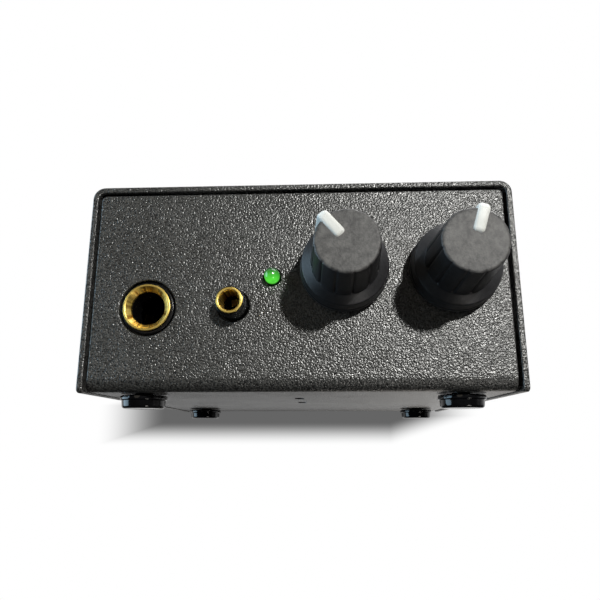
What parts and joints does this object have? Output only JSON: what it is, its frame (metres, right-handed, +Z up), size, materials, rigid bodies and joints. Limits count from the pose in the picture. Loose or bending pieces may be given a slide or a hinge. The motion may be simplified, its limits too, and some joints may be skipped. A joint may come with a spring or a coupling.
{
  "type": "headphone amplifier",
  "caption": "Small desktop headphone amplifier in a folded sheet-metal case with rotary knobs, a full-size and a small headphone socket, a green indicator, rear inputs and rubber feet.",
  "frame": {"origin": "middle of the box, on the plane of the feet's soles", "axes": "+Z up, front panel with the knobs and headphone sockets towards -Y, rear sockets towards +Y, +X to the right seen from the front"},
  "size_m": [0.0876, 0.1142, 0.0441],
  "materials": {
    "powder_coat": "fine-grained black powder coat",
    "black_steel": "black zinc-plated screws",
    "foot_rubber": "glossy moulded rubber",
    "knob_plastic": "moulded, fine matt",
    "pointer_plastic": "white moulded insert",
    "black_nylon": "moulded",
    "gilt": "gold flash over brass",
    "spring_brass": "rolled strip",
    "nickel": "nickel plate",
    "tinned": "tin plate",
    "zinc": "die-cast",
    "shaft_aluminium": "turned",
    "pot_can": "plated sheet",
    "lens_green": "tinted epoxy",
    "board": "solder-masked laminate",
    "chip_epoxy": "moulded epoxy",
    "capacitor_sleeve": "shrink sleeve",
    "white_plastic": "moulded",
    "red_plastic": "moulded"
  },
  "bodies": {
    "case": {"chassis_tray": "powder_coat", "top_cover": "powder_coat", "cover_screw_left_front": "black_steel", "cover_screw_left_rear": "black_steel", "cover_screw_right_front": "black_steel", "cover_screw_right_rear": "black_steel", "foot_front_left": "foot_rubber", "foot_front_right": "foot_rubber", "foot_rear_left": "foot_rubber", "foot_rear_right": "foot_rubber", "circuit_board": "board", "board_spacer_front_left": "spring_brass", "board_spacer_front_right": "spring_brass", "board_spacer_rear_left": "spring_brass", "board_spacer_rear_right": "spring_brass", "board_screw_front_left": "tinned", "board_screw_front_right": "tinned", "board_screw_rear_left": "tinned", "board_screw_rear_right": "tinned", "volume_pot_bushing": "zinc", "volume_pot_washer": "nickel", "volume_pot_nut": "nickel", "volume_pot_case": "pot_can", "gain_pot_bushing": "zinc", "gain_pot_washer": "nickel", "gain_pot_nut": "nickel", "gain_pot_case": "pot_can", "phone_jack_housing": "black_nylon", "phone_jack_ferrule": "gilt", "phone_jack_tip_spring": "spring_brass", "phone_jack_ring_spring": "spring_brass", "mini_jack_housing": "black_nylon", "mini_jack_ferrule": "gilt", "mini_jack_tip_spring": "spring_brass", "mini_jack_ring_spring": "spring_brass", "led_lens": "lens_green", "led_anode_leg": "tinned", "led_cathode_leg": "tinned", "input_block": "black_nylon", "input_shell_left": "nickel", "input_shell_right": "nickel", "input_insert_left": "white_plastic", "input_insert_right": "red_plastic", "power_inlet": "black_nylon", "power_inlet_pin": "nickel", "amplifier_chip_left": "chip_epoxy", "amplifier_chip_right": "chip_epoxy", "coupling_capacitor_left": "capacitor_sleeve", "coupling_capacitor_right": "capacitor_sleeve", "reservoir_capacitor_1": "capacitor_sleeve", "reservoir_capacitor_2": "capacitor_sleeve", "voltage_regulator": "chip_epoxy"},
    "volume_rotor": {"volume_knob": "knob_plastic", "volume_pointer": "pointer_plastic", "volume_pot_shaft": "shaft_aluminium"},
    "gain_rotor": {"gain_knob": "knob_plastic", "gain_pointer": "pointer_plastic", "gain_pot_shaft": "shaft_aluminium"}
  },
  "joints": [
    {"name": "volume_turn", "type": "hinge", "parent": "case", "child": "volume_rotor", "pos_m": [0.0087, -0.03945, 0.0258], "axis": [0, 1, 0], "range_deg": [-109, 191]},
    {"name": "gain_turn", "type": "hinge", "parent": "case", "child": "gain_rotor", "pos_m": [0.0295, -0.03945, 0.0256], "axis": [0, 1, 0], "range_deg": [-167, 133]}
  ]
}
